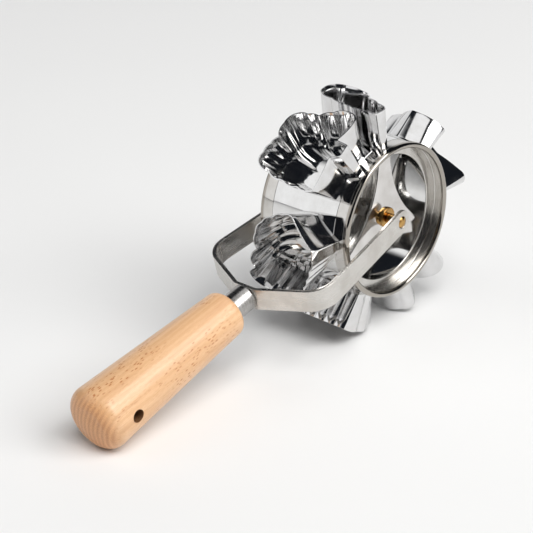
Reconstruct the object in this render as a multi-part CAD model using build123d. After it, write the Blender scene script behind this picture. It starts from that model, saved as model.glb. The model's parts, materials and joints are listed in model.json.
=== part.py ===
from build123d import *
import math
import os

os.makedirs("parts", exist_ok=True)

# Driving sizes in millimetres. The tool is drawn round its axle middle: X runs from the
# handle toward the drum, Y runs along the axle and Z is up.

# Drum: two rings on three-armed spiders, joined by a closed shell that the leaf cutters stand on.
ring_radius = 42.0
ring_wall = 1.0
ring_depth = 9.0
ring_bore_radius = 34.0
rim_bead_radius = 1.5
shell_wall = 0.8
drum_width = 60.0
spider_arms = 3
spider_arm_width = 10.0
spider_waist_radius = 14.0
spider_thickness = 1.2

# Leaf cutters: bent strip standing on the shell, with its cutting edge outside. The drum has
# rolled on by drum_turn degrees, and the spider arms lag behind the gaps between the cutters.
cutter_reach = 63.0
cutter_wall = 0.6
cutter_end_to_rim = 4.5
drum_turn = 8.2
spider_lag = 6.0

# Axle: a shouldered pin in each fork arm and a flanged bush with a nut in each spider.
pin_journal_radius = 2.0
pin_shoulder_radius = 2.6
pin_head_radius = 3.2
pin_head_height = 1.3
bush_barrel_radius = 3.6
bush_flange_radius = 5.5
bush_flange_thickness = 2.0
bush_barrel_past_nut = 0.8
nut_across_flats = 10.0
nut_thickness = 2.4

# Fork: one bent flat bar.
strap_width = 12.5
strap_thickness = 2.0
arm_lean = 6.2
fork_to_cutters = 9.0
fork_base_depth = 14.8
fork_flat_half = 6.4
fork_bend_radius = 14.0
fork_flat_bend_radius = 4.0

# Handle, ferrule and the stud that draws fork, ferrule and handle together.
ferrule_radius = 7.2
ferrule_wall = 0.8
ferrule_length = 13.4
ferrule_end_wall = 1.2
ferrule_edge = 0.8
handle_length = 99.5
handle_neck_radius = 11.8
handle_butt_radius = 17.0
shoulder_round = 4.0
butt_round = 8.0
butt_dome = 1.0
stud_radius = 3.0
stud_head_radius = 4.6
stud_head_height = 1.6
stud_head_bevel = 1.5
stud_end_bevel = 1.0
stud_depth_in_handle = 42.0
hang_hole_radius = 3.2
hang_hole_from_butt = 18.5

# Clearances.
running_fit = 0.05
close_fit = 0.02
rim_to_arm = 0.4
end_play = 0.4
weld_gap = 0.05
wood_gap = 0.1
stud_end_gap = 0.5
seat_margin = 0.2
cut_past = 1.0

# Leaf outlines, drawn on a flat sheet that stands sheet_reach from the axle, with corners as
# (around the drum, along the axle, bow, flutes). Each side runs to the next corner as an arc
# that stands out by its bow and is creased into that many flutes; outlines go anticlockwise.
sheet_reach = 63.0
flute_bow = 0.14
sharpest_crease = 1.6
maple = [
    (-4, -25, 0, 1), (3, -25, 0, 1), (6, -19.5, 1, 1), (25.5, -18, 0.8, 2), (25.2, 2.4, 1, 2),
    (19, 21.5, 1.2, 3), (2.7, 16.4, 2.4, 2), (-13.6, 16.3, 0.5, 2), (-16.4, 3, 0.7, 2),
    (-26.3, -9, 1.5, 1), (-21, -18, 1.5, 1), (-5, -17.5, 0, 1),
]
oak = [
    (33, -25, 0.5, 1), (41.5, -24.5, 0.6, 1), (42.4, -12, 0.5, 2), (40, -2, 0.6, 2), (35.5, 15.5, 1, 1),
    (29, 19.5, 0.8, 1), (19.5, 19.5, 1.5, 1), (14.5, 12.5, 0.8, 1), (17, 0, 0.8, 2), (25, -9, 0.8, 2),
]
elm = [
    (-10, -22.5, 3.5, 1), (-1.5, -22.5, 0.3, 1), (5, -8, -0.4, 1), (12, -3, 0.5, 1), (23, -16.5, 0.8, 1),
    (28, -17, 2.6, 1), (39.8, -0.5, 0.6, 1), (30, 10, 0.6, 1), (24, 20, 1.2, 1), (13, 22.5, 1, 1),
    (0, 25.5, 1.5, 2), (-14, 20, 3, 3), (-27, 6, 3, 2), (-23, -10, 1.5, 1), (-14, -14, 0, 1),
]
linden = [
    (-8, -14, 0, 1), (-3, -14.5, 0.6, 1), (2, -23.5, 2.5, 1), (13, -23.5, 1, 1), (16, -14, 3, 2),
    (27, -3, 3.5, 3), (22, 14, 2.5, 2), (6, 21, 0.5, 1), (0, 25.5, 0.5, 1), (-7, 20, 3, 3),
    (-24, 8, 2.5, 2), (-30, -8, 2, 1), (-27, -20.5, 3, 1), (-16.5, -22.5, 0.8, 1),
]
birch = [
    (-17, -25, 1, 1), (0, -21.6, 2, 2), (15, -16, 2, 2), (29, -7, 2, 3), (28, 12, 3, 3), (10, 22, 2, 2),
    (-8, 22, 3, 2), (-20, 13, 2, 6),
]
ginkgo = [
    (-12, -25, 0, 1), (-6, -25, 1.5, 5), (24, -8, 2.5, 3), (28, 12, 4, 2), (17, 23.5, 0.5, 1),
    (11, 17.5, 1.8, 1), (3, 18, 0.6, 1), (-2, 13, 1.8, 1), (-11, 14, 2, 2), (-24, 3, 1.5, 2),
    (-28, -10, -0.8, 1),
]
leaves = [
    ("elm_leaf_cutter", elm),
    ("oak_leaf_cutter", oak),
    ("maple_leaf_cutter", maple),
    ("ginkgo_leaf_cutter", ginkgo),
    ("birch_leaf_cutter", birch),
    ("linden_leaf_cutter", linden),
]

# Places worked out from the sizes above.
half_drum = drum_width / 2
flange_back = half_drum - ring_depth
spider_inner = flange_back - spider_thickness
arm_inner = half_drum + rim_to_arm
spider_reach = ring_radius - shell_wall - seat_margin
barrel_end = spider_inner - nut_thickness - bush_barrel_past_nut
lean_rise = math.tan(math.radians(arm_lean))
pin_seat_depth = (pin_head_radius + seat_margin) * lean_rise
shoulder_seat = arm_inner + (pin_shoulder_radius + seat_margin) * lean_rise
arm_middle = arm_inner + strap_thickness / 2
bend_x = -(cutter_reach + fork_to_cutters)
bend_y = arm_middle - bend_x * lean_rise
flat_x = bend_x - fork_base_depth
strap_back = flat_x - strap_thickness / 2
strap_front = flat_x + strap_thickness / 2
shoulder_x = strap_back - ferrule_length
butt_x = shoulder_x - handle_length
pitch = 360 / len(leaves)
cutter_half_length = half_drum - cutter_end_to_rim
longest_half_leaf = max(abs(corner[1]) for name, leaf in leaves for corner in leaf)
cutter_foot_radius = ring_radius + weld_gap


def round_bar(radius, start, end):
    """A solid cylinder along the axle from one Y to another."""
    middle = Pos(0, (start + end) / 2, 0)
    return middle * Rot(90, 0, 0) * Cylinder(radius, abs(end - start))


def turned(points, axis):
    """A solid turned from a closed run of corners."""
    return revolve(make_face(Polyline(*points, close=True)), axis)


def side_directions(leaf):
    """For each side of a leaf its heading, its outward direction and how far its arc turns."""
    found = []
    for corner, after in zip(leaf, leaf[1:] + leaf[:1]):
        across = after[0] - corner[0]
        along = after[1] - corner[1]
        length = math.hypot(across, along)
        heading = (across / length, along / length)
        outward = (heading[1], -heading[0])
        found.append((heading, outward, 2 * math.atan(2 * corner[2] / length)))
    return found


def inset_corners(leaf, depth):
    """The corners of a leaf moved inside by the thickness of the strip, less at sharp creases."""
    sides = side_directions(leaf)
    moved = []
    for place, corner in enumerate(leaf):
        heading, outward, turn = sides[place]
        heading_before, outward_before, turn_before = sides[place - 1]
        both = []
        for way in (0, 1):
            start = outward[way] * math.cos(turn) - heading[way] * math.sin(turn)
            finish = outward_before[way] * math.cos(turn_before)
            finish += heading_before[way] * math.sin(turn_before)
            both.append(start + finish)
        share = 2 * depth / max(both[0] ** 2 + both[1] ** 2, sharpest_crease)
        moved.append((corner[0] - both[0] * share, corner[1] - both[1] * share))
    return moved


def leaf_face(leaf, depth=0.0):
    """A flat leaf, moved inside by depth; its X is along the axle and its Y round the drum."""
    corners = inset_corners(leaf, depth)
    edges = []
    for place, corner in enumerate(leaf):
        start = corners[place]
        finish = corners[(place + 1) % len(leaf)]
        if corner[2] == 0:
            edges.append(Line((start[1], start[0]), (finish[1], finish[0])))
            continue
        after = leaf[(place + 1) % len(leaf)]
        outward = side_directions(leaf)[place][1]
        stand = corner[2] - depth
        top = (corner[0] + after[0]) / 2 + outward[0] * stand
        top_along = (corner[1] + after[1]) / 2 + outward[1] * stand
        edges.append(ThreePointArc((start[1], start[0]), (top_along, top), (finish[1], finish[0])))
    return make_face(edges)


def sized_leaf(leaf, around, along):
    """A leaf stretched about its middle by one factor round the drum and one along the axle."""
    bow = math.sqrt(around * along)
    return [(corner[0] * around, corner[1] * along, corner[2] * bow) for corner in leaf]


def creased(leaf):
    """A leaf with every side divided into its flutes."""
    corners = []
    for corner, side, after in zip(leaf, side_directions(leaf), leaf[1:] + leaf[:1]):
        heading, outward, turn = side
        length = math.hypot(after[0] - corner[0], after[1] - corner[1])
        flutes = int(corner[3])
        if flutes == 1:
            corners.append(corner[:3])
            continue
        bend = length / 2 / math.sin(turn)
        middle = [
            (corner[way] + after[way]) / 2 - outward[way] * bend * math.cos(turn) for way in (0, 1)
        ]
        chord = 2 * bend * math.sin(turn / flutes)
        for flute in range(flutes):
            swing = turn * (2 * flute / flutes - 1)
            spot = [
                middle[way] + bend * (outward[way] * math.cos(swing) + heading[way] * math.sin(swing))
                for way in (0, 1)
            ]
            corners.append((spot[0], spot[1], chord * flute_bow))
    return corners


def full_size_leaf(sheet_leaf):
    """A sheet leaf creased and brought to the cutting size of this drum."""
    around = cutter_reach / sheet_reach
    along = cutter_half_length / longest_half_leaf
    return sized_leaf(creased(sheet_leaf), around, along)


def leaf_cutter(leaf, angle):
    """One hollow cutter: walls run straight out from the axle line, from the shell to the edge."""
    turn = math.radians(angle)
    out = Vector(math.cos(turn), 0, math.sin(turn))
    low = cutter_foot_radius * math.cos(math.radians(pitch / 2)) - cut_past
    high = cutter_reach + cut_past
    skins = []
    for depth in (0, cutter_wall):
        sections = []
        for height in (low, high):
            level = sized_leaf(leaf, height / cutter_reach, 1)
            place = Plane(origin=out * height, x_dir=(0, 1, 0), z_dir=out)
            sections.append(place * leaf_face(level, depth))
        skins.append(loft(sections, ruled=True))
    cutter = skins[0] - skins[1]
    cutter = cutter & round_bar(cutter_reach, -drum_width, drum_width)
    return cutter - round_bar(cutter_foot_radius, -drum_width, drum_width)


def ring():
    """The left ring: a flanged cup with a rolled bead round its open rim."""
    bead_middle = half_drum - rim_bead_radius
    wall_length = bead_middle - flange_back
    wall_radius = ring_radius - ring_wall / 2
    wall = Pos(wall_radius, flange_back + wall_length / 2) * Rectangle(ring_wall, wall_length)
    flange_width = ring_radius - ring_bore_radius
    flange_radius = ring_bore_radius + flange_width / 2
    flange = Pos(flange_radius, flange_back + ring_wall / 2) * Rectangle(flange_width, ring_wall)
    bead = Pos(ring_radius - rim_bead_radius, bead_middle) * Circle(rim_bead_radius)
    return revolve(wall + flange + bead, Axis.Y)


def shell():
    """The shell: a bright tube between the backs of the two ring flanges."""
    end = flange_back - weld_gap
    inside = round_bar(ring_radius - shell_wall, -end - cut_past, end + cut_past)
    return round_bar(ring_radius, -end, end) - inside


def spider():
    """The left spider: arms run to the ring flange with a hollow curve between neighbours."""
    tip = math.sqrt(spider_reach ** 2 - (spider_arm_width / 2) ** 2)
    half = spider_arm_width / 2
    step = 360 / spider_arms
    edges = []
    for count in range(spider_arms):
        arm = Vector(0, 1).rotate(Axis.Z, count * step)
        across = Vector(1, 0).rotate(Axis.Z, count * step)
        arm_after = Vector(0, 1).rotate(Axis.Z, (count + 1) * step)
        across_after = Vector(1, 0).rotate(Axis.Z, (count + 1) * step)
        waist = Vector(0, 1).rotate(Axis.Z, (count + 0.5) * step) * spider_waist_radius
        right = arm * tip + across * half
        left = arm * tip - across * half
        edges.append(ThreePointArc(right, arm * spider_reach, left))
        edges.append(ThreePointArc(left, waist, arm_after * tip + across_after * half))
    plate = extrude(make_face(edges), spider_thickness)
    plate = plate - Cylinder(bush_barrel_radius + close_fit, 4 * spider_thickness)
    return Pos(0, flange_back, 0) * Rot(90, 0, 0) * plate


def bush():
    """The left bush: its flange bears on the spider and its barrel passes through."""
    flange_end = flange_back + bush_flange_thickness
    solid = round_bar(bush_barrel_radius, barrel_end, flange_back)
    solid = solid + round_bar(bush_flange_radius, flange_back, flange_end)
    bore_radius = pin_journal_radius + running_fit
    return solid - round_bar(bore_radius, barrel_end - cut_past, flange_end + cut_past)


def bush_nut():
    """The left nut, tight against the inside of the spider."""
    hexagon = RegularPolygon(nut_across_flats / 2, 6, major_radius=False)
    nut = extrude(hexagon, nut_thickness) - Cylinder(bush_barrel_radius + close_fit, 4 * nut_thickness)
    return Pos(0, spider_inner, 0) * Rot(90, 0, 0) * nut


def pin():
    """The left pin: head outside the arm, neck through it, shoulder, then the journal."""
    outside = arm_inner + strap_thickness - pin_seat_depth
    shoulder_end = flange_back + bush_flange_thickness + end_play
    solid = round_bar(pin_journal_radius, barrel_end, outside)
    solid = solid + round_bar(pin_shoulder_radius, shoulder_end, shoulder_seat)
    cap_radius = (pin_head_radius ** 2 + pin_head_height ** 2) / (2 * pin_head_height)
    cap = Pos(0, outside + pin_head_height - cap_radius, 0) * Sphere(cap_radius)
    return solid + (cap & round_bar(pin_head_radius, outside, outside + pin_head_height + cut_past))


def fork():
    """The fork: one flat bar bent to two arms, two slanting shoulders and a flat middle.

    The leaning arms are spot-faced round the pins so that head and shoulder sit square.
    """
    tip_x = strap_width / 2
    tip_y = arm_middle - tip_x * lean_rise
    half_path = [(tip_x, tip_y), (bend_x, bend_y), (flat_x, fork_flat_half)]
    other_half = [(x, -y) for x, y in reversed(half_path)]
    corner_rounds = [fork_bend_radius, fork_flat_bend_radius]
    path = FilletPolyline(*half_path, *other_half, radius=corner_rounds + corner_rounds[::-1])
    bar = extrude(trace(path, strap_thickness), strap_width / 2, both=True)
    long = 2 * bend_y
    end_block = Pos(strap_width, 0, 0) * Box(2 * strap_width, 2 * long, 2 * strap_width)
    bar = bar - (end_block - round_bar(strap_width / 2, -long, long))
    bar = bar - round_bar(pin_journal_radius + close_fit, -long, long)
    for side in (-1, 1):
        head_seat = side * (arm_inner + strap_thickness - pin_seat_depth)
        bar = bar - round_bar(pin_head_radius + seat_margin, head_seat, side * long)
        inside = side * (arm_inner - strap_thickness)
        bar = bar - round_bar(pin_shoulder_radius + seat_margin, side * shoulder_seat, inside)
    stud_hole = Cylinder(stud_radius + close_fit, 2 * fork_base_depth)
    return bar - Pos(flat_x, 0, 0) * Rot(0, 90, 0) * stud_hole


def stud():
    """The stud: round head in front of the bar, shank through ferrule and handle neck."""
    end_x = shoulder_x - stud_depth_in_handle
    head_front = strap_front + stud_head_height
    profile = [
        (end_x, 0), (end_x, stud_radius - stud_end_bevel), (end_x + stud_end_bevel, stud_radius),
        (strap_front, stud_radius), (strap_front, stud_head_radius),
        (strap_front + stud_head_height / 2, stud_head_radius),
        (head_front, stud_head_radius - stud_head_bevel), (head_front, 0),
    ]
    return turned(profile, Axis.X)


def ferrule():
    """The ferrule: a cap over the handle neck, with its closed end against the fork."""
    inner = ferrule_radius - ferrule_wall
    bore = stud_radius + close_fit
    end_inside = strap_back - ferrule_end_wall
    profile = [
        (strap_back, bore), (strap_back, ferrule_radius - ferrule_edge),
        (strap_back - ferrule_edge, ferrule_radius), (shoulder_x, ferrule_radius),
        (shoulder_x, inner), (end_inside, inner), (end_inside, bore),
    ]
    return turned(profile, Axis.X)


# The butt edge is a round that touches the tapering side and ends at the domed end.
taper = math.atan((handle_butt_radius - handle_neck_radius) / handle_length)
round_x = butt_x + butt_dome + butt_round
round_r = handle_butt_radius - butt_round


def handle():
    """The turned wooden handle with its neck, square shoulder, taper and hanging hole."""
    neck_radius = ferrule_radius - ferrule_wall - wood_gap
    neck_x = strap_back - ferrule_end_wall - wood_gap
    side_end = (round_x + butt_round * math.sin(taper), round_r + butt_round * math.cos(taper))
    slant = math.radians(45)
    round_top = (round_x - butt_round * math.cos(slant), round_r + butt_round * math.sin(slant))
    side_x = shoulder_x - shoulder_round
    side_start = (side_x, side_end[1] - (side_x - side_end[0]) * math.tan(taper))
    face_edge = (shoulder_x, side_start[1] - shoulder_round)
    bulge = shoulder_round * math.sin(slant)
    shoulder_top = (side_x + bulge, face_edge[1] + bulge)
    dome = (round_r ** 2 + butt_dome ** 2) / (2 * butt_dome)
    half_dome = math.asin(round_r / dome) / 2
    dome_middle = (butt_x + dome * (1 - math.cos(half_dome)), dome * math.sin(half_dome))
    edges = [
        Line((neck_x, 0), (neck_x, neck_radius)),
        Line((neck_x, neck_radius), (shoulder_x, neck_radius)),
        Line((shoulder_x, neck_radius), face_edge),
        ThreePointArc(face_edge, shoulder_top, side_start),
        Line(side_start, side_end),
        ThreePointArc(side_end, round_top, (round_x - butt_round, round_r)),
        ThreePointArc((round_x - butt_round, round_r), dome_middle, (butt_x, 0)),
        Line((butt_x, 0), (neck_x, 0)),
    ]
    wood = revolve(make_face(edges), Axis.X)
    hole_end = shoulder_x - stud_depth_in_handle - stud_end_gap
    hole_length = neck_x + cut_past - hole_end
    hole_middle = Pos(hole_end + hole_length / 2, 0, 0) * Rot(0, 90, 0)
    wood = wood - hole_middle * Cylinder(stud_radius + close_fit, hole_length)
    hang_x = butt_x + hang_hole_from_butt
    past_wood = handle_butt_radius + cut_past
    return wood - Pos(hang_x, 0, 0) * round_bar(hang_hole_radius, -past_wood, past_wood)


def mirrored(solid):
    """The right-hand twin of a left-hand piece."""
    return mirror(solid, Plane.XZ)


# At rest the drum lies on its lowest cutting edges, and the edge of the butt touches down too.
cutters = {}
for place, (name, leaf) in enumerate(leaves):
    cutters[name] = leaf_cutter(full_size_leaf(leaf), drum_turn + place * pitch)
axle_height = -min(cutter.bounding_box().min.Z for cutter in cutters.values())
swing = math.asin((axle_height - butt_round) / math.hypot(round_x, round_r))
tilt = math.degrees(swing - math.atan2(round_r, -round_x))
lay = Rot(0, -tilt, 0)
spider_turn = Rot(0, spider_lag - drum_turn, 0)

nodes = {
    "handle": lay * handle(),
    "ferrule": lay * ferrule(),
    "tang_stud": lay * stud(),
    "fork": lay * fork(),
    "left_pin": lay * pin(),
    "right_pin": lay * mirrored(pin()),
    "left_bush": bush(),
    "right_bush": mirrored(bush()),
    "left_bush_nut": bush_nut(),
    "right_bush_nut": mirrored(bush_nut()),
    "left_spider": spider_turn * spider(),
    "right_spider": spider_turn * mirrored(spider()),
    "left_ring": ring(),
    "right_ring": mirrored(ring()),
    "drum_shell": shell(),
    **cutters,
}

# The finished tool is moved so that the middle of its footprint is the origin.
boxes = [solid.bounding_box() for solid in nodes.values()]
middle_x = (min(box.min.X for box in boxes) + max(box.max.X for box in boxes)) / 2
lowest = min(box.min.Z for box in boxes)
for name, solid in nodes.items():
    export_step(Pos(-middle_x, 0, -lowest) * solid, f"parts/{name}.step")
print("axle at", -middle_x, -lowest, "tilt", tilt)
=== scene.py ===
import json
import math

import bmesh
import bpy
from mathutils import Matrix, Vector


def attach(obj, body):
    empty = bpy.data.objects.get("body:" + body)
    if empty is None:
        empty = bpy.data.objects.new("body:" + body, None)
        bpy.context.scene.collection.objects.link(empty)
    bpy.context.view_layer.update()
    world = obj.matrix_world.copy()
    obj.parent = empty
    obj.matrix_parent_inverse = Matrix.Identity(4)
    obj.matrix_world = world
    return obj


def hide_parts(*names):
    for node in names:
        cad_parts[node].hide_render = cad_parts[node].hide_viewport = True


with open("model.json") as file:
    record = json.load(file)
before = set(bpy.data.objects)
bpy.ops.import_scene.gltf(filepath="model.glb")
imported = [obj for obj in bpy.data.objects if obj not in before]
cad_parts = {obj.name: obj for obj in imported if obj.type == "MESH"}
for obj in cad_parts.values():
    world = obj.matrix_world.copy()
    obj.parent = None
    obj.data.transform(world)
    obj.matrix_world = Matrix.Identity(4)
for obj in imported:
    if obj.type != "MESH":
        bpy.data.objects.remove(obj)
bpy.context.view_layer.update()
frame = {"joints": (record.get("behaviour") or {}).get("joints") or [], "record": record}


# The handle: one piece of beech turned on a lathe, fat at the butt and drawn in to a rounded shoulder.
# Its neck is a push fit in the ferrule and is bored for the stud; a hanging hole is drilled across the
# butt end. The wood is sanded smooth and oiled, so it has a soft sheen.
mm = 0.001
axle = Vector(frame["joints"][0]["pos_m"])
hang_hole = frame["record"]["mounts"][0]
hang_hole_middle = Vector(hang_hole["pos_m"])
forward = (axle - hang_hole_middle).normalized()
sideways = Vector((0, 1, 0))
upward = forward.cross(sideways)
lean = math.asin(forward.z)
along_handle = Matrix.Translation(axle) @ Matrix((sideways, upward, forward)).transposed().to_4x4()
across_axis = Matrix((Vector((0, 0, 1)), Vector((1, 0, 0)), sideways)).transposed().to_4x4()

# Places along the handle are measured forward from the axle.
strap_back = -87.8 * mm
ferrule_length = 13.4 * mm
shoulder = strap_back - ferrule_length
handle_length = 99.5 * mm
butt = shoulder - handle_length
neck_to_strap = 1.3 * mm
neck_front = strap_back - neck_to_strap
neck_radius = 6.3 * mm
narrow_radius = 11.8 * mm
butt_radius = 17 * mm
shoulder_round = 4 * mm
butt_round = 8 * mm
butt_dome = 1 * mm
side_steps = 36
dome_shares = (0.85, 0.65, 0.45, 0.25, 0.06)


def rounded(along, out, radius, start, end, steps=10):
    """Stations on a round about one station; 0 degrees points along the axis and 90 away from it."""
    turns = [math.radians(start + (end - start) * step / steps) for step in range(steps + 1)]
    return [(along + radius * math.cos(turn), out + radius * math.sin(turn)) for turn in turns]


taper = math.atan((butt_radius - narrow_radius) / handle_length)
round_at = butt + butt_dome + butt_round
round_out = butt_radius - butt_round
side_back = round_at + butt_round * math.sin(taper)
side_back_radius = round_out + butt_round * math.cos(taper)
side_front = shoulder - shoulder_round
side_front_radius = side_back_radius - (side_front - side_back) * math.tan(taper)
side = []
for step in range(1, side_steps):
    share = step / side_steps
    side.append((side_front + (side_back - side_front) * share,
                 side_front_radius + (side_back_radius - side_front_radius) * share))
dome_radius = (round_out ** 2 + butt_dome ** 2) / (2 * butt_dome)
dome = []
for share in dome_shares:
    out = round_out * share
    dome.append((butt + dome_radius - math.sqrt(dome_radius ** 2 - out ** 2), out))
handle_stations = [(neck_front, neck_radius), (shoulder, neck_radius)]
handle_stations += rounded(side_front, side_front_radius - shoulder_round, shoulder_round, 0, 90)
handle_stations += side
handle_stations += rounded(round_at, round_out, butt_round, 90 - math.degrees(taper), 180, 16)
handle_stations += dome


def only(piece):
    """Leaves one piece selected and active."""
    bpy.ops.object.select_all(action="DESELECT")
    piece.select_set(True)
    bpy.context.view_layer.objects.active = piece


def settle(piece, place):
    """Carries a finished mesh to its place on the tool and leaves its object at the origin."""
    only(piece)
    piece.matrix_world = place
    bpy.ops.object.transform_apply(location=True, rotation=True, scale=True)


def pick(piece, wanted):
    """In edit mode, selects the points of a piece whose places pass a test."""
    bpy.ops.mesh.select_all(action="DESELECT")
    shape = bmesh.from_edit_mesh(piece.data)
    for point in shape.verts:
        point.select_set(wanted(point.co))
    shape.select_flush(True)
    bmesh.update_edit_mesh(piece.data)


same_spot = 0.001 * mm


def turn_up(name, stations, place, sides, hollow=False):
    """Turns (along, radius) stations up round an axis, ring after ring, as on a lathe."""
    bpy.ops.object.select_all(action="DESELECT")
    first_along, first_radius = stations[0]
    bpy.ops.mesh.primitive_circle_add(vertices=sides, radius=first_radius, location=(0, 0, first_along))
    piece = bpy.context.object
    piece.name = name
    bpy.ops.object.transform_apply(location=True, rotation=True, scale=True)
    bpy.ops.object.mode_set(mode="EDIT")
    for (along, radius), (next_along, next_radius) in zip(stations, stations[1:]):
        step = {"value": (0, 0, next_along - along)}
        bpy.ops.mesh.extrude_region_move(TRANSFORM_OT_translate=step)
        grow = next_radius / radius
        bpy.ops.transform.resize(value=(grow, grow, 1), center_override=(0, 0, next_along))
    if not hollow:
        bpy.ops.mesh.edge_face_add()
        near = 2 * same_spot
        pick(piece, lambda spot: abs(spot.z - first_along) < near
             and abs(math.hypot(spot.x, spot.y) - first_radius) < near)
        bpy.ops.mesh.edge_face_add()
    bpy.ops.mesh.select_all(action="SELECT")
    bpy.ops.mesh.remove_doubles(threshold=same_spot)
    bpy.ops.mesh.normals_make_consistent(inside=False)
    bpy.ops.object.mode_set(mode="OBJECT")
    settle(piece, place)
    return piece


def mirrored(stations):
    """Stations followed by their mirror image across the middle of the axis."""
    return stations + [(-along, out) for along, out in reversed(stations)]


def cut_away(piece, drill):
    """Takes the shape of a drill or cutter out of a piece."""
    only(piece)
    cut = piece.modifiers.new("cut", "BOOLEAN")
    cut.operation = "DIFFERENCE"
    cut.solver = "EXACT"
    cut.object = drill
    bpy.ops.object.modifier_apply(modifier=cut.name)
    bpy.data.objects.remove(drill)


def polish(piece, crease=32):
    """Smooth shading that stays crisp at edges sharper than the crease angle."""
    only(piece)
    bpy.ops.object.shade_smooth_by_angle(angle=math.radians(crease))


stud_radius = 3 * mm
stud_depth = 42.5 * mm
drill_past = 1 * mm
hole_radius = hang_hole["dims"]["r_mm"] * mm
hole_half = hang_hole["dims"]["length_mm"] * mm / 2
hole_past = 0.4 * mm
flare = 0.55 * mm
handle = turn_up("turned_handle", handle_stations, along_handle, sides=128)
stud_bore = [(neck_front + drill_past, stud_radius), (shoulder - stud_depth, stud_radius)]
cut_away(handle, turn_up("stud_drill", stud_bore, along_handle, sides=48))
flared_hole = mirrored([(hole_half + hole_past, hole_radius + flare), (hole_half - flare, hole_radius)])
hole_place = Matrix.Translation(hang_hole_middle) @ across_axis
cut_away(handle, turn_up("hole_drill", flared_hole, hole_place, sides=64))
polish(handle)


def add(tree, kind, inputs=(), **settings):
    """Adds a node with its settings; an input is a plain value or another node's socket."""
    made = tree.nodes.new("ShaderNode" + kind)
    for key, value in settings.items():
        setattr(made, key, value)
    for key, value in dict(inputs).items():
        if isinstance(value, bpy.types.NodeSocket):
            tree.links.new(value, made.inputs[key])
        else:
            made.inputs[key].default_value = value
    return made


def new_finish(name, **constants):
    """An empty material with the constant sockets of its shader set."""
    finish = bpy.data.materials.new(name)
    finish.use_nodes = True
    shader = finish.node_tree.nodes["Principled BSDF"]
    for key, value in constants.items():
        shader.inputs[key.replace("_", " ")].default_value = value
    return finish, finish.node_tree, shader


def tool_place(tree):
    """Places measured from the axle, turned with the tool: x along the handle, y across, z up."""
    spot = add(tree, "TexCoord")
    return add(tree, "Mapping", {"Vector": spot.outputs["Object"], "Location": axle,
                                 "Rotation": (0, -lean, 0)}, vector_type="TEXTURE").outputs[0]


def stretched(tree, place, scale):
    """A place with each way scaled on its own, for grain that runs one way."""
    return add(tree, "Mapping", {"Vector": place, "Scale": scale}).outputs[0]


def noise(tree, place, detail, scale=1.0, roughness=0.5):
    """Soft irregular values between 0 and 1."""
    return add(tree, "TexNoise", {"Vector": place, "Scale": scale, "Detail": detail,
                                  "Roughness": roughness}).outputs[0]


def dots(tree, place, scale=1.0):
    """The distance from the nearest of many scattered dots."""
    return add(tree, "TexVoronoi", {"Vector": place, "Scale": scale}).outputs["Distance"]


def year_rings(tree, pith, scale, waver, waver_scale):
    """The light and dark of the yearly rings round the pith of the tree."""
    return add(tree, "TexWave", {"Vector": pith, "Scale": scale, "Distortion": waver, "Detail": 3.0,
                                 "Detail Scale": waver_scale},
               wave_type="RINGS", rings_direction="X").outputs[1]


def ramp(tree, value, low, high, low_to, high_to):
    """A value carried from one range to another, held at both ends."""
    return add(tree, "MapRange", {"Value": value, "From Min": low, "From Max": high,
                                  "To Min": low_to, "To Max": high_to}).outputs[0]


def maths(tree, operation, *values):
    """One step of arithmetic on sockets or plain values."""
    return add(tree, "Math", dict(enumerate(values)), operation=operation).outputs[0]


def mixed(tree, share, first, second, blend="MIX"):
    """Two colours mixed by a share."""
    mix = add(tree, "Mix", data_type="RGBA", blend_type=blend)
    for socket, value in zip((mix.inputs[0], mix.inputs[6], mix.inputs[7]), (share, first, second)):
        if isinstance(value, bpy.types.NodeSocket):
            tree.links.new(value, socket)
        else:
            socket.default_value = value
    return mix.outputs[2]


def bumped(tree, height, strength, depth, **under):
    """A surface direction bumped by a height, over an earlier bump if there is one."""
    return add(tree, "Bump", {"Height": height, "Strength": strength, "Distance": depth,
                              **under}).outputs[0]


def coat(tree, shader, colour, roughness, normal):
    """Feeds a shader its colour, its roughness and its bumped direction."""
    for name, socket in (("Base Color", colour), ("Roughness", roughness), ("Normal", normal)):
        tree.links.new(socket, shader.inputs[name])


def dress(piece, finish, body, slot, *nodes):
    """Gives a piece its finish and its body, and hides the parts that it stands for; the slot is not used.
    """
    piece.data.materials.clear()
    piece.data.materials.append(finish)
    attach(piece, body)
    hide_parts(*nodes)


pale = (0.75, 0.482, 0.277, 1)
honey = (0.635, 0.36, 0.18, 1)
streak_brown = (0.52, 0.27, 0.14, 1)
fibre_brown = (0.54, 0.295, 0.147, 1)
fleck_brown = (0.42, 0.145, 0.042, 1)
end_pale = (0.78, 0.41, 0.18, 1)
end_brown = (0.53, 0.215, 0.078, 1)
pore_brown = (0.36, 0.15, 0.065, 1)
hole_shade_colour = (0.07, 0.025, 0.008, 1)
pith_place = (0, 55 * mm, 16 * mm)
fibre_depth = 0.12 * mm
end_grain_from = butt + 6.5 * mm
end_grain_full = butt + 1.8 * mm
hole_shade_from = hole_radius + 0.25 * mm
hole_shade_full = hole_radius + 0.03 * mm

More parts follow.
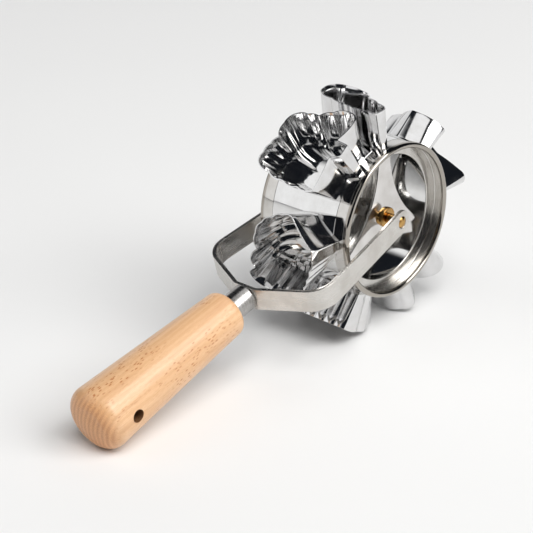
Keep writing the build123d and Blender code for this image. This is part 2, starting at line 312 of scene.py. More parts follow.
beech, tree, shader = new_finish("oiled_beech", Specular_IOR_Level=0.55, IOR=1.5)
place = tool_place(tree)
pith = add(tree, "Mapping", {"Vector": place, "Location": pith_place, "Scale": (0.06, 1, 1)}).outputs[0]
rings = year_rings(tree, pith, scale=118.0, waver=5.0, waver_scale=45.0)
fibre = noise(tree, stretched(tree, place, (45, 1500, 1500)), detail=5.0, roughness=0.6)
cloud = noise(tree, stretched(tree, place, (14, 60, 60)), detail=2.0)
streak = noise(tree, stretched(tree, place, (16, 330, 330)), detail=3.0)
fleck = dots(tree, stretched(tree, place, (300, 880, 880)))
fleck_band = noise(tree, stretched(tree, place, (32, 95, 95)), detail=2.0)
fleck_share = maths(tree, "MULTIPLY", ramp(tree, fleck, 0.16, 0.38, 0.95, 0.0),
                    ramp(tree, fleck_band, 0.49, 0.62, 0.03, 1.0))
colour = mixed(tree, ramp(tree, rings, 0.15, 0.9, 0.0, 0.6), pale, honey)
colour = mixed(tree, ramp(tree, cloud, 0.35, 0.7, 0.0, 0.5), colour, honey)
colour = mixed(tree, ramp(tree, streak, 0.52, 0.74, 0.0, 0.45), colour, streak_brown)
colour = mixed(tree, ramp(tree, fibre, 0.5, 0.75, 0.0, 0.35), colour, fibre_brown)
colour = mixed(tree, fleck_share, colour, fleck_brown)

growth = year_rings(tree, pith, scale=120.0, waver=6.0, waver_scale=40.0)
pores = dots(tree, place, scale=1900.0)
end_colour = mixed(tree, ramp(tree, growth, 0.1, 0.9, 0.0, 1.0), end_pale, end_brown)
end_colour = mixed(tree, ramp(tree, pores, 0.1, 0.5, 0.4, 0.0), end_colour, pore_brown)
along_grain = add(tree, "SeparateXYZ", {"Vector": place}).outputs["X"]
end_grain = ramp(tree, along_grain, end_grain_from, end_grain_full, 0.0, 0.85)
colour = mixed(tree, end_grain, colour, end_colour)

# Painted shade: the wood inside the hanging hole and round its mouth is painted near-black, for the shade
# in the hole.
spot = add(tree, "TexCoord").outputs["Object"]
from_hole = add(tree, "Mapping", {"Vector": spot, "Location": hang_hole_middle}, vector_type="TEXTURE")
level_from_hole = stretched(tree, from_hole.outputs[0], (1, 0, 1))
out_of_hole = add(tree, "VectorMath", {0: level_from_hole}, operation="LENGTH").outputs["Value"]
hole_shade_share = ramp(tree, out_of_hole, hole_shade_from, hole_shade_full, 0.0, 0.92)
colour = mixed(tree, hole_shade_share, colour, hole_shade_colour)
coat(tree, shader, colour, ramp(tree, fibre, 0.2, 0.8, 0.24, 0.36),
     bumped(tree, fibre, strength=0.18, depth=fibre_depth))
dress(handle, beech, "handle_and_fork", "beech", "handle")


# The ferrule: a thin steel cap drawn from sheet and pressed over the handle's neck. Its closed end takes
# the thrust of the fork, and its edges are rolled by the press.
ferrule_radius = 7.2 * mm
ferrule_wall = 0.8 * mm
ferrule_end_wall = 1.2 * mm
ferrule_edge = 1.0 * mm
rear_edge = 0.35 * mm
close_fit = 0.02 * mm
ferrule_bore = stud_radius + close_fit
ferrule_inside = strap_back - ferrule_end_wall
ferrule_inner_radius = ferrule_radius - ferrule_wall
ferrule_stations = [(strap_back, ferrule_bore)]
ferrule_stations += rounded(strap_back - ferrule_edge, ferrule_radius - ferrule_edge, ferrule_edge, 0, 90)
ferrule_stations += rounded(shoulder + rear_edge, ferrule_radius - rear_edge, rear_edge, 90, 180, 5)
ferrule_stations += [(shoulder, ferrule_inner_radius), (ferrule_inside, ferrule_inner_radius)]
ferrule_stations += [(ferrule_inside, ferrule_bore), (strap_back, ferrule_bore)]
ferrule = turn_up("drawn_ferrule", ferrule_stations, along_handle, sides=96, hollow=True)
polish(ferrule)


def mottled(tree, patches, first, second, low=0.35, high=0.7):
    """Two colours in soft patches, the second where the patches' value is high."""
    return mixed(tree, ramp(tree, patches, low, high, 0, 1), first, second)


drawn_bright = (0.42, 0.41, 0.40, 1)
drawn_dull = (0.33, 0.32, 0.305, 1)
line_depth = 0.03 * mm
ferrule_steel, tree, shader = new_finish("drawn_steel", Metallic=1.0)
place = tool_place(tree)
draw_lines = noise(tree, stretched(tree, place, (5200, 70, 70)), detail=3.0)
colour = mottled(tree, noise(tree, place, detail=3.0, scale=260.0), drawn_bright, drawn_dull)
coat(tree, shader, colour, ramp(tree, draw_lines, 0.3, 0.7, 0.20, 0.34),
     bumped(tree, draw_lines, strength=0.12, depth=line_depth))
dress(ferrule, ferrule_steel, "handle_and_fork", "ferrule_steel", "ferrule")


# The tang stud: a round-headed steel stud. It passes through the flat of the fork and the ferrule and is
# driven into the handle, which holds the three together.
strap_thickness = 2 * mm
strap_front = strap_back + strap_thickness
stud_head_radius = 4.6 * mm
stud_head_height = 1.6 * mm
stud_head_edge = 0.1 * mm
head_round = 1.4 * mm
stud_point = 1 * mm
stud_end_gap = 0.5 * mm
stud_end = shoulder - stud_depth + stud_end_gap
stud_stations = [(stud_end, stud_radius - stud_point), (stud_end + stud_point, stud_radius),
                 (strap_front, stud_radius), (strap_front, stud_head_radius - stud_head_edge),
                 (strap_front + stud_head_edge, stud_head_radius)]
stud_stations += rounded(strap_front + stud_head_height - head_round, stud_head_radius - head_round,
                         head_round, 90, 0, 8)
stud = turn_up("stud_with_round_head", stud_stations, along_handle, sides=64)
polish(stud)


def worn(tree, lines, swing, smears, spread, low=0.3, high=0.7):
    """A roughness that spreads with soft smears and swings a little with fine lines."""
    return maths(tree, "ADD", ramp(tree, lines, 0.3, 0.7, *swing), ramp(tree, smears, low, high, *spread))


strap_bright = (0.66, 0.64, 0.61, 1)
strap_dull = (0.56, 0.535, 0.50, 1)
speck_dark = (0.30, 0.27, 0.24, 1)
fork_steel, tree, shader = new_finish("plated_strap_steel", Metallic=1.0)
place = tool_place(tree)
roll_lines = noise(tree, stretched(tree, place, (90, 90, 4200)), detail=4.0, roughness=0.65)
smears = noise(tree, place, detail=4.0, scale=95.0)
specks = dots(tree, place, scale=900.0)
colour = mottled(tree, smears, strap_bright, strap_dull)
colour = mixed(tree, ramp(tree, specks, 0.02, 0.1, 0.25, 0.0), colour, speck_dark)
coat(tree, shader, colour, worn(tree, roll_lines, (-0.05, 0.05), smears, (0.24, 0.33)),
     bumped(tree, roll_lines, strength=0.15, depth=line_depth))
dress(stud, fork_steel, "handle_and_fork", "fork_steel", "tang_stud")


# The fork: one flat steel bar, bent to a short flat at the ferrule, two slanting shoulders and two arms
# that lean in to the drum. The arm ends are rounded and drilled for the pins, and spot-faced round them.
strap_width = 12.5 * mm
strap_edge = 0.45 * mm
arm_lean = math.radians(6.2)
arm_inner = 30.4 * mm
arm_middle = arm_inner + strap_thickness / 2
flat_at = strap_back + strap_thickness / 2
flat_half = 6.4 * mm
flat_to_bend = 14.8 * mm
bend_at = flat_at + flat_to_bend
bend_out = arm_middle - bend_at * math.tan(arm_lean)
tip_at = strap_width / 2
tip_out = arm_middle - tip_at * math.tan(arm_lean)
flat_bend = 4 * mm
arm_bend = 14 * mm
strap_lengths = 300
strap_widths = 8
tip_merge = 0.01 * mm

to_bend = Vector((bend_at - flat_at, bend_out - flat_half))
to_tip = Vector((tip_at - bend_at, tip_out - bend_out))
heading = [math.pi / 2, math.atan2(to_bend.y, to_bend.x), math.atan2(to_tip.y, to_tip.x)]
flat_turn = heading[1] - heading[0]
arm_turn = heading[2] - heading[1]
flat_loss = flat_bend * math.tan(abs(flat_turn) / 2)
arm_loss = arm_bend * math.tan(abs(arm_turn) / 2)
strap_runs = [(flat_half - flat_loss, 0), (flat_bend * abs(flat_turn), -1 / flat_bend),
              (to_bend.length - flat_loss - arm_loss, 0), (arm_bend * abs(arm_turn), -1 / arm_bend),
              (to_tip.length - arm_loss, 0)]
strap_half = sum(length for length, curve in strap_runs)


def on_strap(walked):
    """Where the middle of the bar is, and which way it heads, a given length from the ferrule."""
    spot, turn = Vector((flat_at, 0)), heading[0]
    for length, curve in strap_runs:
        part = min(walked, length)
        after = turn + curve * part
        if curve:
            spot += Vector((math.sin(after) - math.sin(turn), math.cos(turn) - math.cos(after))) / curve
        else:
            spot += Vector((math.cos(turn), math.sin(turn))) * part
        turn = after
        walked -= part
        if walked <= 0:
            break
    return spot, turn


bpy.ops.object.select_all(action="DESELECT")
bpy.ops.mesh.primitive_grid_add(x_subdivisions=strap_lengths, y_subdivisions=strap_widths, size=1)
fork = bpy.context.object
fork.name = "bent_fork"
fork.scale = (2 * strap_half, strap_width, 1)
bpy.ops.object.transform_apply(location=True, rotation=True, scale=True)
for point in fork.data.vertices:
    past = (abs(point.co.x) - strap_half + tip_at) / tip_at
    if past > 0:
        point.co.y *= math.sqrt(max(0.0, 1 - past ** 2))
bpy.ops.object.mode_set(mode="EDIT")
bpy.ops.mesh.select_all(action="SELECT")
bpy.ops.mesh.remove_doubles(threshold=tip_merge)
bpy.ops.object.mode_set(mode="OBJECT")


def thicken(piece, thickness, offset):
    """Gives a sheet its thickness, to one side or both."""
    only(piece)
    wall = piece.modifiers.new("wall", "SOLIDIFY")
    wall.thickness = thickness
    wall.offset = offset
    wall.use_even_offset = True
    bpy.ops.object.modifier_apply(modifier=wall.name)


def ease(piece, width, steps, sharper_than):
    """Rounds off the edges of a piece that are sharper than an angle."""
    only(piece)
    bevel = piece.modifiers.new("eased", "BEVEL")
    bevel.width = width
    bevel.segments = steps
    bevel.limit_method = "ANGLE"
    bevel.angle_limit = math.radians(sharper_than)
    bpy.ops.object.modifier_apply(modifier=bevel.name)


thicken(fork, strap_thickness, offset=0)
ease(fork, strap_edge, steps=3, sharper_than=60)
for point in fork.data.vertices:
    way = math.copysign(1, point.co.x)
    spot, turn = on_strap(abs(point.co.x))
    at = spot.x + math.sin(turn) * point.co.z
    out = way * (spot.y - math.cos(turn) * point.co.z)
    point.co = axle + forward * at + sideways * out + upward * point.co.y

pin_radius = 2 * mm
pin_head_radius = 3.2 * mm
pin_shoulder_radius = 2.6 * mm
seat_margin = 0.2 * mm
pin_bore = pin_radius + close_fit
head_seat_radius = pin_head_radius + seat_margin
shoulder_seat_radius = pin_shoulder_radius + seat_margin
head_seat = arm_inner + strap_thickness - head_seat_radius * math.tan(arm_lean)
shoulder_seat = arm_inner + shoulder_seat_radius * math.tan(arm_lean)
pin_seats = mirrored([(2 * arm_inner, head_seat_radius), (head_seat, head_seat_radius),
                      (head_seat, pin_bore), (shoulder_seat, pin_bore),
                      (shoulder_seat, shoulder_seat_radius)])
cut_away(fork, turn_up("pin_seats", pin_seats, Matrix.Translation(axle) @ across_axis, sides=64))
stud_hole = [(strap_front + drill_past, ferrule_bore), (strap_back - drill_past, ferrule_bore)]
cut_away(fork, turn_up("stud_hole", stud_hole, along_handle, sides=48))
polish(fork)
dress(fork, fork_steel, "handle_and_fork", "fork_steel", "fork")


# The two pins: turned brass, each with a domed head outside an arm, a neck riveted through it, a shoulder
# and a journal that the drum's bush runs on.
right_axis = Matrix((Vector((1, 0, 0)), Vector((0, 0, 1)), -sideways)).transposed().to_4x4()
from_axle = {
    "left": Matrix.Translation(axle) @ across_axis,
    "right": Matrix.Translation(axle) @ right_axis,
}
journal_end = 16.6 * mm
shoulder_end = 23.4 * mm
pin_head_height = 1.3 * mm
pin_chamfer = 0.25 * mm
cap_shares = (0.985, 0.95, 0.88, 0.78, 0.66, 0.52, 0.37, 0.21, 0.05)
cap_radius = (pin_head_radius ** 2 + pin_head_height ** 2) / (2 * pin_head_height)
cap_middle = head_seat + pin_head_height - cap_radius
pin_stations = [(journal_end, pin_radius - pin_chamfer), (journal_end + pin_chamfer, pin_radius),
                (shoulder_end, pin_radius), (shoulder_end, pin_shoulder_radius - pin_chamfer),
                (shoulder_end + pin_chamfer, pin_shoulder_radius), (shoulder_seat, pin_shoulder_radius),
                (shoulder_seat, pin_radius), (head_seat, pin_radius), (head_seat, pin_head_radius)]
for share in cap_shares:
    out = pin_head_radius * share
    pin_stations.append((cap_middle + math.sqrt(cap_radius ** 2 - out ** 2), out))


def out_and_along(tree, place):
    """How far a place is from the axle line, and how far along that line."""
    parted = add(tree, "SeparateXYZ", {"Vector": place})
    squares = [maths(tree, "POWER", parted.outputs[way], 2.0) for way in ("X", "Z")]
    return maths(tree, "SQRT", maths(tree, "ADD", *squares)), parted.outputs["Y"]


brass_bright = (0.57, 0.35, 0.125, 1)
brass_tarnish = (0.34, 0.18, 0.055, 1)
brass, tree, shader = new_finish("turned_brass", Metallic=1.0)
place = tool_place(tree)
from_middle, along_axle = out_and_along(tree, place)
lathe_place = add(tree, "CombineXYZ", {"X": from_middle, "Y": along_axle}).outputs[0]
lathe_lines = noise(tree, lathe_place, detail=2.0, scale=5200.0)
tarnish = noise(tree, place, detail=4.0, scale=420.0)
colour = mottled(tree, tarnish, brass_bright, brass_tarnish, low=0.38, high=0.72)
coat(tree, shader, colour, ramp(tree, lathe_lines, 0.3, 0.7, 0.14, 0.30),
     bumped(tree, lathe_lines, strength=0.12, depth=line_depth))
for hand, axis in from_axle.items():
    pin = turn_up(hand + "_domed_pin", pin_stations, axis, sides=64)
    polish(pin)
    dress(pin, brass, "handle_and_fork", "brass", hand + "_pin")


# The two bushes: turned brass, with a wide flange that bears on the outside of a spider and a barrel
# through it. The drum turns on their bores.
bush_barrel_radius = 3.6 * mm
bush_flange_radius = 5.5 * mm
flange_back = 21 * mm
flange_front = 23 * mm
flange_round = 0.6 * mm
running_fit = 0.05 * mm
bush_bore = pin_radius + running_fit
bush_stations = [(journal_end, bush_bore), (journal_end, bush_barrel_radius - pin_chamfer),
                 (journal_end + pin_chamfer, bush_barrel_radius), (flange_back, bush_barrel_radius),
                 (flange_back, bush_flange_radius)]
bush_stations += rounded(flange_front - flange_round, bush_flange_radius - flange_round,
                         flange_round, 90, 0, 6)
bush_stations += [(flange_front, bush_bore + pin_chamfer), (flange_front - pin_chamfer, bush_bore),
                  (journal_end, bush_bore)]
for hand, axis in from_axle.items():
    bush = turn_up(hand + "_flanged_bush", bush_stations, axis, sides=72, hollow=True)
    polish(bush)
    dress(bush, brass, "drum", "brass", hand + "_bush")


# The two nuts: thin brass hexagons on the ends of the bush barrels, tight against the inside of the
# spiders. Their corners are eased by tumbling.
nut_across_flats = 10 * mm
nut_thickness = 2.4 * mm
nut_edge = 0.3 * mm
nut_radius = nut_across_flats / math.sqrt(3)
nut_bore = bush_barrel_radius + close_fit
spider_inner = 19.8 * mm
nut_inner = spider_inner - nut_thickness
nut_middle = spider_inner - nut_thickness / 2
nut_drill = [(spider_inner + drill_past, nut_bore), (nut_inner - drill_past, nut_bore)]
for hand, axis in from_axle.items():
    bpy.ops.object.select_all(action="DESELECT")
    bpy.ops.mesh.primitive_cylinder_add(vertices=6, radius=nut_radius, depth=nut_thickness,
                                        location=(0, 0, nut_middle))
    nut = bpy.context.object
    nut.name = hand + "_thin_nut"
    bpy.ops.object.transform_apply(location=True, rotation=True, scale=True)
    cut_away(nut, turn_up("nut_drill", nut_drill, Matrix.Identity(4), sides=48))
    ease(nut, nut_edge, steps=2, sharper_than=50)
    settle(nut, axis)
    polish(nut)
    dress(nut, brass, "drum", "brass", hand + "_bush_nut")


# The two spiders: three-armed plates stamped from steel sheet, with a hollow curve between the arms. The
# arm ends are welded to the back of a ring's flange and the middle is punched for the bush.
spider_reach = 41 * mm
spider_waist = 14 * mm
spider_half_arm = 5 * mm
spider_thickness = 1.2 * mm
spider_edge = 0.22 * mm
spider_start = 92.2
spider_arms = 3
tip_steps = 8
waist_steps = 40


def round_axle(radius, degrees, along):
    """A place at a radius and an angle round the axle; 0 degrees is forward and 90 is up."""
    turn = math.radians(degrees)
    return axle + Vector((radius * math.cos(turn), along, radius * math.sin(turn)))


arm_step = 360 / spider_arms
half_tip = math.degrees(math.asin(spider_half_arm / spider_reach))
tip_along = spider_reach * math.cos(math.radians(arm_step / 2 - half_tip))
hollow_at = (spider_reach ** 2 - spider_waist ** 2) / (2 * (tip_along - spider_waist))
hollow_radius = hollow_at - spider_waist
tip_across = spider_reach * math.sin(math.radians(arm_step / 2 - half_tip))
hollow_swing = math.degrees(math.asin(tip_across / hollow_radius))

spider_line = []
for arm in range(spider_arms):
    middle = spider_start + arm * arm_step
    for step in range(tip_steps):
        spider_line.append((spider_reach, middle - half_tip + 2 * half_tip * step / tip_steps))
    for step in range(waist_steps):
        swing = math.radians(hollow_swing * (1 - 2 * step / waist_steps))
        inward = hollow_at - hollow_radius * math.cos(swing)
        sideward = hollow_radius * math.sin(swing)
        spider_line.append((math.hypot(inward, sideward),
                            middle + arm_step / 2 - math.degrees(math.atan2(sideward, inward))))

spider_bright = (0.72, 0.705, 0.69, 1)
spider_dull = (0.62, 0.60, 0.58, 1)
spider_steel, tree, shader = new_finish("stamped_spider_steel", Metallic=1.0)
place = tool_place(tree)
sheet_lines = noise(tree, stretched(tree, place, (140, 140, 3600)), detail=4.0, roughness=0.65)
smears = noise(tree, place, detail=3.0, scale=120.0)
colour = mottled(tree, smears, spider_bright, spider_dull)
coat(tree, shader, colour, worn(tree, sheet_lines, (-0.03, 0.03), smears, (0.10, 0.19)),
     bumped(tree, sheet_lines, strength=0.12, depth=line_depth))
spider_punch = [(flange_back + drill_past, nut_bore), (spider_inner - drill_past, nut_bore)]
for hand, way in (("left", 1), ("right", -1)):
    bpy.ops.object.select_all(action="DESELECT")
    bpy.ops.mesh.primitive_circle_add(vertices=len(spider_line), radius=spider_reach, fill_type="NGON")
    spider = bpy.context.object
    spider.name = hand + "_stamped_spider"
    for point, (radius, degrees) in zip(spider.data.vertices, spider_line):
        point.co = round_axle(radius, degrees, way * flange_back)
    bpy.ops.object.mode_set(mode="EDIT")
    bpy.ops.mesh.select_all(action="SELECT")
    into_drum = {"value": (0, -way * spider_thickness, 0)}
    bpy.ops.mesh.extrude_region_move(TRANSFORM_OT_translate=into_drum)
    bpy.ops.mesh.select_all(action="SELECT")
    bpy.ops.mesh.normals_make_consistent(inside=False)
    bpy.ops.object.mode_set(mode="OBJECT")
    cut_away(spider, turn_up("spider_punch", spider_punch, from_axle[hand], sides=64))
    ease(spider, spider_edge, steps=2, sharper_than=50)
    polish(spider)
    dress(spider, spider_steel, "drum", "spider_steel", hand + "_spider")


# The two rings: flanged cups spun from steel sheet. The open rim is rolled over into a polished round bead,
# coloured darker and browner than the wall, and the flange inside carries the spider. The spinning leaves
# fine lines round the axle, which are polished away on the outside of the wall.
ring_radius = 42 * mm
ring_wall = 1 * mm
ring_bore = 34 * mm
bead_radius = 1.5 * mm
bead_at = 28.5 * mm
outer_bend = 0.15 * mm
inner_bend = 0.7 * mm
half_wall = ring_wall / 2
bead_meets_wall = math.degrees(math.asin((bead_radius - ring_wall) / bead_radius))
ring_stations = rounded(flange_back + outer_bend, ring_radius - outer_bend, outer_bend, 180, 90, 6)
ring_stations += rounded(bead_at, ring_radius - bead_radius, bead_radius, 90, bead_meets_wall - 180, 26)
ring_stations += rounded(flange_back + ring_wall + inner_bend, ring_radius - ring_wall - inner_bend,
                         inner_bend, 90, 180, 6)
ring_stations += rounded(flange_back + half_wall, ring_bore + half_wall, half_wall, 0, -180, 8)
ring_stations.append(ring_stations[0])


def shared(tree, share, first, second):
    """Two plain values mixed by a share."""
    return add(tree, "Mix", {0: share, 2: first, 3: second}).outputs[0]


ring_bright = (0.66, 0.645, 0.62, 1)
ring_dull = (0.55, 0.53, 0.50, 1)
bead_darker_colour = (0.34, 0.31, 0.27, 1)
wall_rough = 0.06
bead_rough = 0.05
bead_back = bead_at - bead_radius
bead_full = bead_at - 0.6 * bead_radius
wall_front = bead_back - 0.4 * mm
wall_from = ring_radius - 0.12 * mm
wall_full = ring_radius - 0.06 * mm
ring_steel, tree, shader = new_finish("spun_ring_steel", Metallic=1.0)
place = tool_place(tree)
from_middle, along_axle = out_and_along(tree, place)
spun_place = add(tree, "CombineXYZ", {"X": from_middle, "Y": along_axle}).outputs[0]
spun_lines = noise(tree, spun_place, detail=3.0, scale=3400.0, roughness=0.6)
smears = noise(tree, place, detail=4.0, scale=110.0)
from_side = maths(tree, "ABSOLUTE", along_axle)
on_bead = ramp(tree, from_side, bead_back, bead_full, 0.0, 0.8)
on_wall = maths(tree, "MULTIPLY", ramp(tree, from_middle, wall_from, wall_full, 0, 1),
                ramp(tree, from_side, bead_back, wall_front, 0, 1))
# The bead is painted darker and browner than the wall.
colour = mixed(tree, on_bead, mottled(tree, smears, ring_bright, ring_dull), bead_darker_colour)
rough = worn(tree, spun_lines, (-0.05, 0.06), smears, (0.18, 0.27))
rough = shared(tree, on_wall, rough, wall_rough)
rough = shared(tree, on_bead, rough, bead_rough)
line_strength = ramp(tree, on_wall, 0, 1, 0.2, 0.0)
coat(tree, shader, colour, rough, bumped(tree, spun_lines, line_strength, line_depth))
for hand, axis in from_axle.items():
    ring = turn_up(hand + "_rolled_ring", ring_stations, axis, sides=192, hollow=True)
    polish(ring)
    dress(ring, ring_steel, "drum", "ring_steel", hand + "_ring")


# The shell: a thin steel tube, polished bright, brazed between the backs of the two rings. It closes the
# drum and carries the cutters.
shell_wall = 0.8 * mm
shell_edge = 0.1 * mm
braze_gap = 0.05 * mm
shell_end = flange_back - braze_gap
shell_inside = ring_radius - shell_wall
shell_stations = mirrored([(-shell_end, shell_inside), (-shell_end, ring_radius - shell_edge),
                           (shell_edge - shell_end, ring_radius)])
shell_stations.append(shell_stations[0])
shell = turn_up("bright_tube", shell_stations, from_axle["left"], sides=256, hollow=True)
polish(shell)

shell_bright = (0.80, 0.80, 0.795, 1)
shell_dull = (0.73, 0.725, 0.715, 1)
swell_depth = 0.5 * mm
shell_steel, tree, shader = new_finish("polished_shell_steel", Metallic=1.0)
spot = add(tree, "TexCoord").outputs["Object"]
swell = noise(tree, spot, detail=1.0, scale=38.0)
buff = noise(tree, spot, detail=3.0, scale=1700.0, roughness=0.6)
smears = noise(tree, spot, detail=5.0, scale=130.0, roughness=0.6)
colour = mottled(tree, smears, shell_bright, shell_dull)
rough = worn(tree, buff, (-0.01, 0.015), smears, (0.03, 0.09), low=0.35, high=0.75)
coat(tree, shader, colour, rough, bumped(tree, swell, strength=0.06, depth=swell_depth))
dress(shell, shell_steel, "drum", "shell_steel", "drum_shell")


# The six cutters: bright steel strip bent on edge to a leaf outline, its walls running straight out from
# the axle line. The feet are brazed to the shell, and the far edges are the cutting edges.
# A corner is (round the drum, along the axle, bow of the side after it, flutes in that side), in mm.
cutter_foot = ring_radius + braze_gap
cutter_reach = 63 * mm
cutter_wall = 0.6 * mm
cutter_edge = 0.12 * mm
flute_bow = 0.14
bow_points = 40
cutter_points = 520
crease_passes = 3
wall_rows = 4
first_cutter = 8.2
cutter_step = 60

leaves = {
    "elm": [
        (-10, -22.5, 3.5, 1), (-1.5, -22.5, 0.3, 1), (5, -8, -0.4, 1), (12, -3, 0.5, 1),
        (23, -16.5, 0.8, 1), (28, -17, 2.6, 1), (39.8, -0.5, 0.6, 1), (30, 10, 0.6, 1),
        (24, 20, 1.2, 1), (13, 22.5, 1, 1), (0, 25.5, 1.5, 2), (-14, 20, 3, 3),
        (-27, 6, 3, 2), (-23, -10, 1.5, 1), (-14, -14, 0, 1),
    ],
    "oak": [
        (33, -25, 0.5, 1), (41.5, -24.5, 0.6, 1), (42.4, -12, 0.5, 2), (40, -2, 0.6, 2),
        (35.5, 15.5, 1, 1), (29, 19.5, 0.8, 1), (19.5, 19.5, 1.5, 1), (14.5, 12.5, 0.8, 1),
        (17, 0, 0.8, 2), (25, -9, 0.8, 2),
    ],
    "maple": [
        (-4, -25, 0, 1), (3, -25, 0, 1), (6, -19.5, 1, 1), (25.5, -18, 0.8, 2),
        (25.2, 2.4, 1, 2), (19, 21.5, 1.2, 3), (2.7, 16.4, 2.4, 2), (-13.6, 16.3, 0.5, 2),
        (-16.4, 3, 0.7, 2), (-26.3, -9, 1.5, 1), (-21, -18, 1.5, 1), (-5, -17.5, 0, 1),
    ],
    "ginkgo": [
        (-12, -25, 0, 1), (-6, -25, 1.5, 5), (24, -8, 2.5, 3), (28, 12, 4, 2),
        (17, 23.5, 0.5, 1), (11, 17.5, 1.8, 1), (3, 18, 0.6, 1), (-2, 13, 1.8, 1),
        (-11, 14, 2, 2), (-24, 3, 1.5, 2), (-28, -10, -0.8, 1),
    ],
    "birch": [
        (-17, -25, 1, 1), (0, -21.6, 2, 2), (15, -16, 2, 2), (29, -7, 2, 3),
        (28, 12, 3, 3), (10, 22, 2, 2), (-8, 22, 3, 2), (-20, 13, 2, 6),
    ],
    "linden": [
        (-8, -14, 0, 1), (-3, -14.5, 0.6, 1), (2, -23.5, 2.5, 1), (13, -23.5, 1, 1),
        (16, -14, 3, 2), (27, -3, 3.5, 3), (22, 14, 2.5, 2), (6, 21, 0.5, 1),
        (0, 25.5, 0.5, 1), (-7, 20, 3, 3), (-24, 8, 2.5, 2), (-30, -8, 2, 1),
        (-27, -20.5, 3, 1), (-16.5, -22.5, 0.8, 1),
    ],
}


def bowed(start, finish, bow, parts):
    """Points from one place up to another on an arc that stands out by the bow; places are complex."""
    chord = finish - start
    if bow == 0:
        return [start + chord * part / parts for part in range(parts)]
    onward = chord / abs(chord)
    outward = onward * -1j
    turn = 2 * math.atan(2 * bow / abs(chord))
    bend = abs(chord) / 2 / math.sin(turn)
    middle = (start + finish) / 2 - outward * bend * math.cos(turn)
    swings = [turn * (2 * part / parts - 1) for part in range(parts)]
    return [middle + bend * (outward * math.cos(swing) + onward * math.sin(swing)) for swing in swings]


def strip_line(leaf):
    """The line of a leaf's strip, evenly spaced, with its creases rounded as bent metal is."""
    line = []
    for corner, after in zip(leaf, leaf[1:] + leaf[:1]):
        start, finish = complex(corner[0], corner[1]), complex(after[0], after[1])
        side_bow, flutes = corner[2:]
        spots = bowed(start, finish, side_bow, flutes) + [finish]
        for first, second in zip(spots, spots[1:]):
            bow = side_bow if flutes == 1 else abs(second - first) * flute_bow
            line += bowed(first, second, bow, bow_points)
    lengths = [abs(after - before) for before, after in zip(line, line[1:] + line[:1])]
    pace = sum(lengths) / cutter_points
    even, walked, at = [], 0.0, 0
    for count in range(cutter_points):
        while walked + lengths[at] < count * pace:
            walked += lengths[at]
            at += 1
        share = (count * pace - walked) / lengths[at]
        even.append(line[at] + (line[(at + 1) % len(line)] - line[at]) * share)
    for crease_pass in range(crease_passes):
        even = [(even[count - 1] + 2 * even[count] + even[(count + 1) % cutter_points]) / 4
                for count in range(cutter_points)]
    return even


strip_bright = (0.75, 0.75, 0.755, 1)
strip_dull = (0.67, 0.665, 0.66, 1)
cutter_steel, tree, shader = new_finish("bright_strip_steel", Metallic=1.0)
spot = add(tree, "TexCoord").outputs["Object"]
ripple = noise(tree, spot, detail=1.0, scale=55.0)
grind = noise(tree, spot, detail=4.0, scale=1500.0, roughness=0.65)
smears = noise(tree, spot, detail=5.0, scale=160.0, roughness=0.6)
colour = mottled(tree, smears, strip_bright, strip_dull)
rough = worn(tree, grind, (-0.015, 0.02), smears, (0.06, 0.14), low=0.35, high=0.75)
coarse = bumped(tree, ripple, strength=0.03, depth=swell_depth)
coat(tree, shader, colour, rough, bumped(tree, grind, strength=0.05, depth=line_depth, Normal=coarse))
for count, (leaf_name, leaf) in enumerate(leaves.items()):
    line = strip_line(leaf)
    bpy.ops.object.select_all(action="DESELECT")
    bpy.ops.mesh.primitive_circle_add(vertices=cutter_points, radius=1)
    cutter = bpy.context.object
    cutter.name = leaf_name + "_strip_cutter"
    bpy.ops.object.mode_set(mode="EDIT")
    for row in range(wall_rows):
        bpy.ops.mesh.extrude_region_move(TRANSFORM_OT_translate={"value": (0, 0, 1)})
    bpy.ops.object.mode_set(mode="OBJECT")
    for point in cutter.data.vertices:
        turn = math.atan2(point.co.y, point.co.x) / (2 * math.pi)
        on_line = line[round(turn * cutter_points) % cutter_points]
        radius = cutter_foot + (cutter_reach - cutter_foot) * round(point.co.z) / wall_rows
        swing = math.degrees(math.atan(on_line.real * mm / cutter_reach))
        point.co = round_axle(radius, first_cutter + count * cutter_step + swing, on_line.imag * mm)
    bpy.ops.object.mode_set(mode="EDIT")
    bpy.ops.mesh.select_all(action="SELECT")
    bpy.ops.mesh.normals_make_consistent(inside=False)
    bpy.ops.object.mode_set(mode="OBJECT")
    thicken(cutter, cutter_wall, offset=-1)
    ease(cutter, cutter_edge, steps=2, sharper_than=60)
    polish(cutter, crease=45)
    dress(cutter, cutter_steel, "drum", "cutter_steel", leaf_name + "_leaf_cutter")


# The floor: a wide pale matt sheet that the tool lies on. It is a stage for the picture and no part of
# the tool.
floor_width = 40
floor_grey = (0.80, 0.80, 0.80, 1)
floor_pale = (0.83, 0.83, 0.825, 1)
bpy.ops.object.select_all(action="DESELECT")
bpy.ops.mesh.primitive_plane_add(size=floor_width)
floor = bpy.context.object
floor.name = "pale_floor"
floor_finish, tree, shader = new_finish("pale_matt_sheet", Roughness=0.75, Specular_IOR_Level=0.2)
spot = add(tree, "TexCoord").outputs["Object"]
colour = mixed(tree, noise(tree, spot, detail=2.0, scale=3.0), floor_grey, floor_pale)
tree.links.new(colour, shader.inputs["Base Color"])
floor.data.materials.append(floor_finish)


# The light: a dark studio with white panels round the tool, as bright metal needs. A large soft lamp from
# the right throws the shadows, one from above, which the metal doesn't mirror, softens them, and a small
# card lights the elm.
view_turn = math.radians(-47.11)
view_rise = math.radians(25.51)
view_back = Vector((math.sin(view_turn) * math.cos(view_rise), -math.cos(view_turn) * math.cos(view_rise),
                    math.sin(view_rise)))
view_right = Vector((math.cos(view_turn), math.sin(view_turn), 0))
level_back = Vector((view_back.x, view_back.y, 0)).normalized()
studio_dark = (0.011, 0.013, 0.017, 1)
lamp_white = (1, 0.995, 0.985)
least_ahead = 0.02

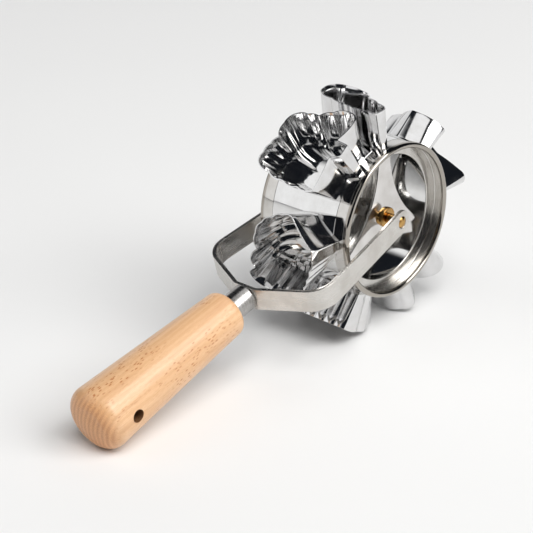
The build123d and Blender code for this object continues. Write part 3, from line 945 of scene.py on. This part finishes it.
world = bpy.data.worlds.new("panelled_studio")
bpy.context.scene.world = world
world.use_nodes = True
tree = world.node_tree
ground = tree.nodes["Background"]
look = add(tree, "TexCoord").outputs["Generated"]


def ways_to(turn, rise):
    """The level and the true way to a panel or lamp; its turn is to the right of the camera, in degrees."""
    turn, rise = math.radians(turn), math.radians(rise)
    level = level_back * math.cos(turn) + view_right * math.sin(turn)
    return level, level * math.cos(rise) + Vector((0, 0, math.sin(rise)))


def seen_along(way):
    """How far the way that is looked in lies along another."""
    return add(tree, "VectorMath", {0: look, 1: way}, operation="DOT_PRODUCT").outputs["Value"]


def panel(turn, rise, half_wide, half_high, soft, glow):
    """The light of one white panel with soft edges; its half sizes are in degrees too."""
    level, toward = ways_to(turn, rise)
    across = Vector((0, 0, 1)).cross(level)
    ahead = seen_along(toward)
    lit = maths(tree, "GREATER_THAN", ahead, least_ahead)
    for way, half in ((across, half_wide), (toward.cross(across), half_high)):
        span = maths(tree, "ABSOLUTE", maths(tree, "DIVIDE", seen_along(way), ahead))
        edge = add(tree, "MapRange", {"Value": span, "From Min": math.tan(math.radians(half + soft)),
                                      "From Max": math.tan(math.radians(half - soft))},
                   interpolation_type="SMOOTHSTEP").outputs[0]
        lit = maths(tree, "MULTIPLY", lit, edge)
    return maths(tree, "MULTIPLY", lit, glow)


panels = [
    panel(turn=-86, rise=25, half_wide=20, half_high=34, soft=5, glow=1.0),
    panel(turn=-176, rise=10, half_wide=36, half_high=18, soft=6, glow=0.85),
    panel(turn=62, rise=13, half_wide=24, half_high=19, soft=5, glow=0.95),
    panel(turn=-48, rise=28, half_wide=9, half_high=12, soft=4, glow=0.6),
]
panel_light = panels[0]
for more in panels[1:]:
    panel_light = maths(tree, "ADD", panel_light, more)
panel_white = add(tree, "CombineXYZ", dict.fromkeys("XYZ", panel_light)).outputs[0]
tree.links.new(mixed(tree, 1.0, panel_white, studio_dark, "ADD"), ground.inputs["Color"])


def softbox(name, middle, turn, rise, distance, size, watts):
    """A square lamp aimed at a place, which the camera doesn't see."""
    toward = ways_to(turn, rise)[1]
    lamp = bpy.data.lights.new(name, "AREA")
    lamp.size = size
    lamp.energy = watts
    lamp.color = lamp_white
    holder = bpy.data.objects.new(name, lamp)
    bpy.context.scene.collection.objects.link(holder)
    facing = toward.to_track_quat("Z", "Y").to_matrix().to_4x4()
    holder.matrix_world = Matrix.Translation(middle + toward * distance) @ facing
    holder.visible_camera = False
    return holder


elm_facets = round_axle(cutter_reach, degrees=32, along=-12 * mm)
softbox("right_softbox", axle, turn=62, rise=44, distance=5, size=3.3, watts=190)
overhead = softbox("overhead_softbox", axle, turn=12, rise=62, distance=6, size=3.3, watts=205)
overhead.visible_glossy = False
softbox("small_card", elm_facets, turn=-34, rise=72, distance=0.17, size=0.12, watts=0.05)


# The camera stands where the photograph was taken from, level to within a degree, with the drum's middle
# off the middle of its picture.
view_roll = math.radians(0.99)
view_distance = 901 * mm
off_right = 47.36 * mm
off_up = 31.22 * mm
film_width = 36
lens_length = 114.41
view_up = view_back.cross(view_right)
eye = axle + view_back * view_distance - view_right * off_right - view_up * off_up
camera_x = view_right * math.cos(view_roll) - view_up * math.sin(view_roll)
camera_y = view_right * math.sin(view_roll) + view_up * math.cos(view_roll)
camera_turn = Matrix((camera_x, camera_y, view_back)).transposed().to_4x4()
camera = bpy.data.objects.new("camera", bpy.data.cameras.new("camera"))
bpy.context.scene.collection.objects.link(camera)
camera.matrix_world = Matrix.Translation(eye) @ camera_turn
camera.data.sensor_width = film_width
camera.data.lens = lens_length
bpy.context.scene.camera = camera
bpy.context.scene.view_settings.view_transform = "Standard"
